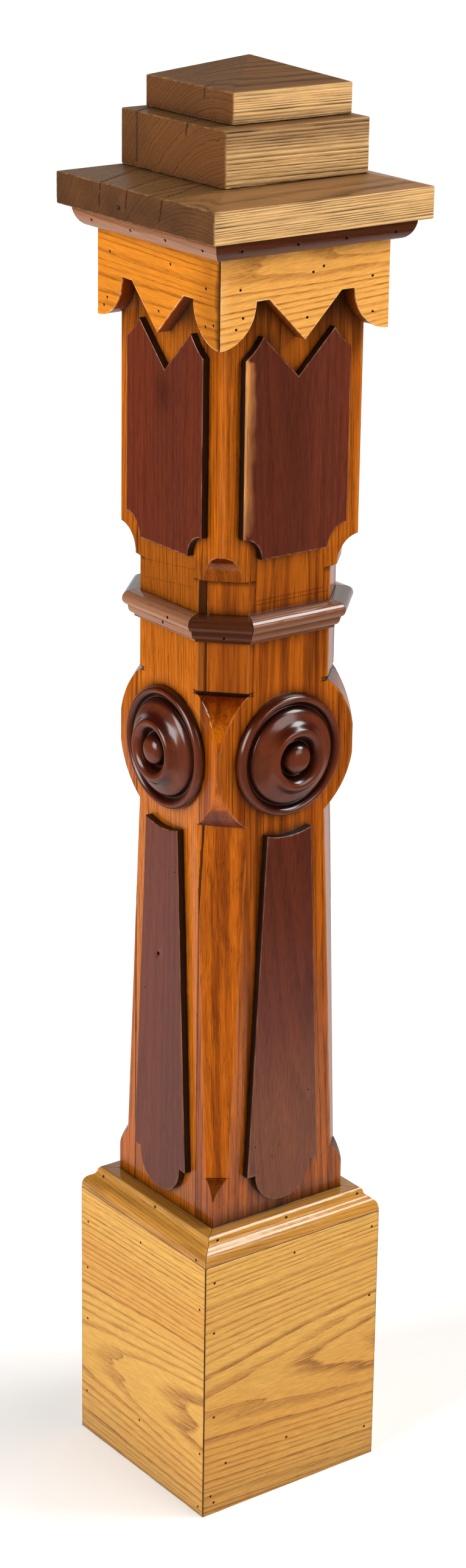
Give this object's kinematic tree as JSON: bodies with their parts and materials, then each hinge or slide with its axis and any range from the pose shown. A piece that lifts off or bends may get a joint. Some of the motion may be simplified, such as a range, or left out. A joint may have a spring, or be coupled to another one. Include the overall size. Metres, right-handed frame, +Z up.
{
  "type": "newel post",
  "caption": "Square boxed newel post with chamfered shaft, raised panels, turned rosettes, an eight-sided collar, a scalloped skirt and a stepped cap.",
  "frame": {"origin": "centre of the underside, on the floor", "axes": "+Z up along the post, -Y out of the front face, +X to the right of the front face"},
  "size_m": [0.2314, 0.2314, 1.3373],
  "materials": {
    "base_board_ash": "satin varnish over pale open-grained hardwood, worn at the edges",
    "base_moulding_ash": "glossy old varnish over open-grained hardwood",
    "post_ash": "amber varnish, semi-gloss, with dark dirt in the corners",
    "panel_walnut": "dark red-brown varnish, semi-gloss",
    "rosette_walnut": "turned and varnished, high gloss",
    "moulding_walnut": "glossy varnish with dust in the quirks",
    "skirt_ash": "golden varnish, semi-gloss",
    "cap_wood": "rubbed and worn varnish, rough end grain"
  },
  "bodies": {
    "root": {"base_board_front": "base_board_ash", "base_board_right": "base_board_ash", "base_board_back": "base_board_ash", "base_board_left": "base_board_ash", "base_moulding_front": "base_moulding_ash", "base_moulding_right": "base_moulding_ash", "base_moulding_back": "base_moulding_ash", "base_moulding_left": "base_moulding_ash", "post_board_front": "post_ash", "post_board_right": "post_ash", "post_board_back": "post_ash", "post_board_left": "post_ash", "lower_panel_front": "panel_walnut", "lower_panel_right": "panel_walnut", "lower_panel_back": "panel_walnut", "lower_panel_left": "panel_walnut", "rosette_front": "rosette_walnut", "rosette_right": "rosette_walnut", "rosette_back": "rosette_walnut", "rosette_left": "rosette_walnut", "collar_front": "moulding_walnut", "collar_front_right": "moulding_walnut", "collar_right": "moulding_walnut", "collar_back_right": "moulding_walnut", "collar_back": "moulding_walnut", "collar_back_left": "moulding_walnut", "collar_left": "moulding_walnut", "collar_front_left": "moulding_walnut", "upper_panel_front": "panel_walnut", "upper_panel_right": "panel_walnut", "upper_panel_back": "panel_walnut", "upper_panel_left": "panel_walnut", "skirt_board_front": "skirt_ash", "skirt_board_right": "skirt_ash", "skirt_board_back": "skirt_ash", "skirt_board_left": "skirt_ash", "bed_moulding_front": "moulding_walnut", "bed_moulding_right": "moulding_walnut", "bed_moulding_back": "moulding_walnut", "bed_moulding_left": "moulding_walnut", "cap_slab": "cap_wood", "cap_middle_block": "cap_wood", "cap_top_block": "cap_wood"}
  },
  "joints": []
}
